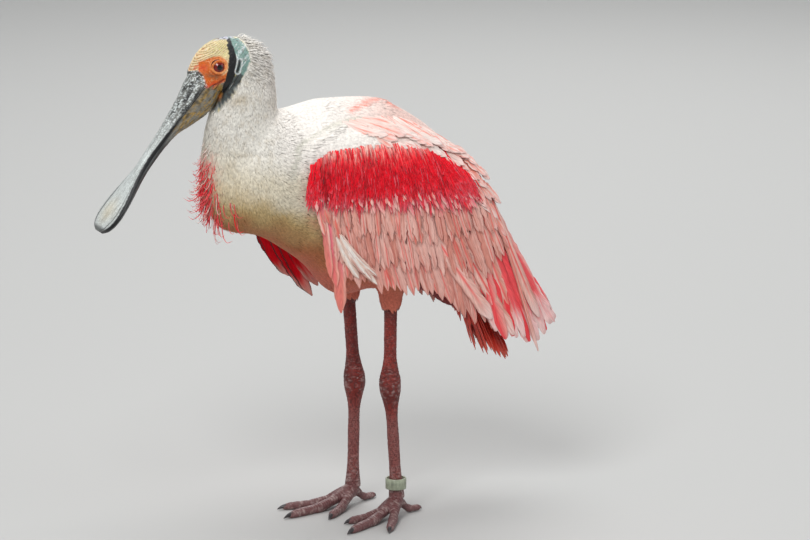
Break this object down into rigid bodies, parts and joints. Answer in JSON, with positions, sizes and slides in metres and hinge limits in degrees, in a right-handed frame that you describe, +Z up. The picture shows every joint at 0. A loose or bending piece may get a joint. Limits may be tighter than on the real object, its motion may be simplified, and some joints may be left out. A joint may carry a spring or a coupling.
{
  "type": "roseate spoonbill",
  "caption": "Standing roseate spoonbill with folded wings, drawn-in neck, spoon-shaped bill and a leg band, a still life-size bird model",
  "frame": {"origin": "middle of the bird's box, on the floor it stands on", "axes": "+Z up, the bird looks along -X, its left side is -Y"},
  "size_m": [0.4644, 0.1672, 0.4711],
  "materials": {
    "plumage_white": "soft white to buff body feathers",
    "plumage_pink": "pale pink wing feathers with a carmine band",
    "plumage_red": "orange-red tail feathers",
    "head_skin": "bare wrinkled skin, yellow-green, orange and black",
    "bill_horn": "grey horn, pale at the spoon with dark edges",
    "eye": "glossy dark red",
    "leg_skin": "scaly maroon skin with grey scutes",
    "band": "dull grey-green ring"
  },
  "bodies": {
    "root": {"torso": "plumage_white", "neck": "plumage_white", "head": "head_skin", "bill_upper": "bill_horn", "bill_lower": "bill_horn", "eye_left": "eye", "eye_right": "eye", "wing_left": "plumage_pink", "wing_right": "plumage_pink", "tail": "plumage_red", "thigh_left": "plumage_white", "thigh_right": "plumage_white", "tibia_left": "leg_skin", "tibia_right": "leg_skin", "tarsus_left": "leg_skin", "tarsus_right": "leg_skin", "foot_left": "leg_skin", "foot_right": "leg_skin", "leg_band": "band"}
  },
  "joints": []
}
